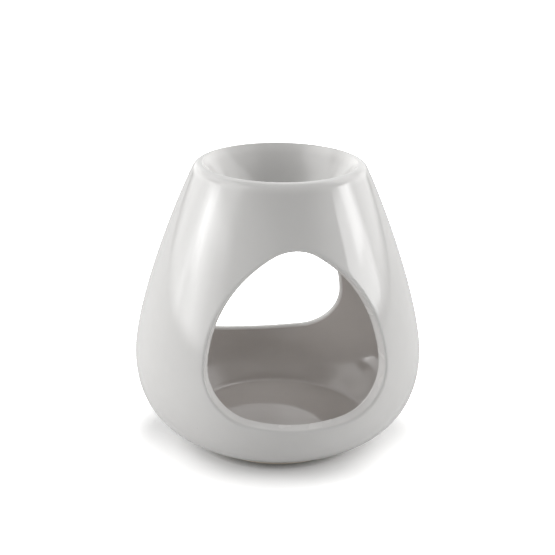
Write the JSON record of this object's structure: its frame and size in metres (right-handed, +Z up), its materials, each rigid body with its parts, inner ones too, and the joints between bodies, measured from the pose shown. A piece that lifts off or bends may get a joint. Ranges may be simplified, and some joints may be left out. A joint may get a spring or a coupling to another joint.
{
  "type": "oil burner",
  "caption": "Pear-shaped glazed ceramic oil burner with an oil dish in its neck, a candle chamber with opposite rounded windows, and a bare foot ring.",
  "frame": {"origin": "on the resting plane under the body's axis, at the centre of the foot ring", "axes": "+Z up along the axis of turning; the front window faces -Y and the rear window +Y"},
  "size_m": [0.1, 0.0972, 0.1014],
  "materials": {
    "body_glaze": "glossy clear-white ceramic glaze over pale clay",
    "dish_glaze": "glossy clear-white ceramic glaze, slightly thinner on the rolled lip",
    "floor_glaze": "glossy clear-white ceramic glaze, pooled flat on the chamber floor",
    "bare_clay": "unglazed, wiped pale clay, matt"
  },
  "bodies": {
    "root": {"body_shell": "body_glaze", "oil_dish": "dish_glaze", "base_floor": "floor_glaze", "foot_ring": "bare_clay"}
  },
  "joints": []
}
